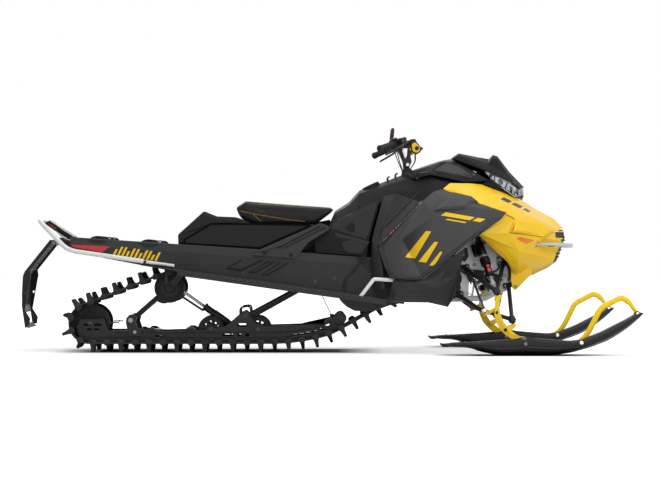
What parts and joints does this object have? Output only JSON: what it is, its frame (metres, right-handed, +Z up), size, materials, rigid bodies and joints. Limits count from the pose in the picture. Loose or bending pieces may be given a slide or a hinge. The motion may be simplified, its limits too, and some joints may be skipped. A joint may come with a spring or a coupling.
{
  "type": "snowmobile",
  "caption": "Long-track deep-snow snowmobile with narrow tunnel, faceted bodywork, high riser handlebar and two skis that steer and pitch.",
  "frame": {"origin": "on the floor, midway between the snow flap and the ski tips, on the plane of symmetry", "axes": "+X forwards, +Y to the rider's left, +Z up"},
  "size_m": [3.18, 1.078, 1.178],
  "materials": {
    "coated_tunnel": "satin black-grey coated aluminium sheet, light scuffs",
    "black_steel": "semi-gloss black powder coat",
    "cast_grey": "light-grey satin cast aluminium",
    "bare_aluminium": "brushed aluminium",
    "engine_metal": "dark cast metal",
    "rubber_track": "matte black rubber",
    "black_plastic": "moulded black plastic, fine grain",
    "graphite_plastic": "graphite-grey moulded panel, fine grain",
    "yellow_plastic": "gloss yellow moulded panel",
    "yellow_metal": "gloss yellow painted forging",
    "seat_cover": "black grained seat cover with yellow seams",
    "lens_clear": "clear lens",
    "lens_red": "dark red lens",
    "white_bar": "white painted tube",
    "grip_rubber": "soft black grip rubber"
  },
  "bodies": {
    "chassis": {"tunnel": "coated_tunnel", "tail_panel": "black_plastic", "rear_bumper": "white_bar", "snow_flap": "black_plastic", "tail_light": "lens_red", "track": "rubber_track", "rails": "black_steel", "rear_wheels": "black_plastic", "idler_wheels": "black_plastic", "carrier_wheels": "black_plastic", "drive_axle": "black_plastic", "rear_swing_arm": "black_steel", "front_swing_arm": "black_steel", "track_shocks": "bare_aluminium", "cargo_mounts": "black_plastic", "seat": "seat_cover", "seat_base": "black_plastic", "side_struts": "graphite_plastic", "toe_holds": "white_bar", "console": "black_plastic", "knee_panels": "graphite_plastic", "lower_panels": "graphite_plastic", "hood": "black_plastic", "visor": "black_plastic", "headlight": "lens_clear", "nose_cover": "yellow_plastic", "nose_cheeks": "yellow_plastic", "front_grille": "black_plastic", "front_bumper": "white_bar", "bulkhead": "cast_grey", "engine": "engine_metal", "lower_arms": "black_steel", "upper_arms": "black_steel", "front_shocks": "black_steel", "running_board_left": "coated_tunnel", "running_board_right": "coated_tunnel", "side_panel_left": "graphite_plastic", "side_panel_right": "graphite_plastic", "body_frame": "black_steel", "cowl_sides": "black_plastic", "lamp_surround": "black_plastic", "drive_covers": "coated_tunnel"},
    "steering": {"steering_post": "black_steel", "handlebar": "black_steel", "grab_loop": "grip_rubber", "grips": "grip_rubber", "hand_controls": "black_plastic"},
    "pitman": {"pitman_arm": "bare_aluminium"},
    "tie_rod_left": {"tie_rod_left": "bare_aluminium"},
    "tie_rod_right": {"tie_rod_right": "bare_aluminium"},
    "spindle_left": {"spindle_left": "yellow_metal"},
    "spindle_right": {"spindle_right": "yellow_metal"},
    "ski_left": {"ski_left": "black_plastic", "ski_loop_left": "yellow_plastic"},
    "ski_right": {"ski_right": "black_plastic", "ski_loop_right": "yellow_plastic"}
  },
  "joints": [
    {"name": "bar_steer", "type": "hinge", "parent": "chassis", "child": "steering", "pos_m": [0.535, 0, 0.64], "axis": [-0.3149, 0, 0.9491], "range_deg": [-36, 36]},
    {"name": "pitman_turn", "type": "hinge", "parent": "chassis", "child": "pitman", "pos_m": [0.88081, 0, 0.3981], "axis": [-0.4763, 0, 0.8793], "range_deg": [-27, 27]},
    {"name": "ski_steer_left", "type": "hinge", "parent": "chassis", "child": "spindle_left", "pos_m": [0.938, 0.4, 0.178], "axis": [-0.4763, 0, 0.8793], "range_deg": [-27, 27]},
    {"name": "ski_steer_right", "type": "hinge", "parent": "chassis", "child": "spindle_right", "pos_m": [0.938, -0.4, 0.178], "axis": [-0.4763, 0, 0.8793], "range_deg": [-27, 27]},
    {"name": "tie_rod_left_swing", "type": "hinge", "parent": "spindle_left", "child": "tie_rod_left", "pos_m": [0.80728, 0.4, 0.20727], "axis": [-0.4763, 0, 0.8793], "range_deg": [-27, 27]},
    {"name": "tie_rod_right_swing", "type": "hinge", "parent": "spindle_right", "child": "tie_rod_right", "pos_m": [0.80728, -0.4, 0.20727], "axis": [-0.4763, 0, 0.8793], "range_deg": [-27, 27]},
    {"name": "ski_pitch_left", "type": "hinge", "parent": "spindle_left", "child": "ski_left", "pos_m": [0.99, 0.455, 0.076], "axis": [0, 1, 0], "range_deg": [-15, 10]},
    {"name": "ski_pitch_right", "type": "hinge", "parent": "spindle_right", "child": "ski_right", "pos_m": [0.99, -0.455, 0.076], "axis": [0, 1, 0], "range_deg": [-15, 10]}
  ],
  "couplings": [
    {"joint": "pitman_turn", "follows": "bar_steer", "ratio": 0.75},
    {"joint": "ski_steer_left", "follows": "bar_steer", "ratio": 0.75},
    {"joint": "ski_steer_right", "follows": "bar_steer", "ratio": 0.75},
    {"joint": "tie_rod_left_swing", "follows": "bar_steer", "ratio": -0.75},
    {"joint": "tie_rod_right_swing", "follows": "bar_steer", "ratio": -0.75}
  ]
}
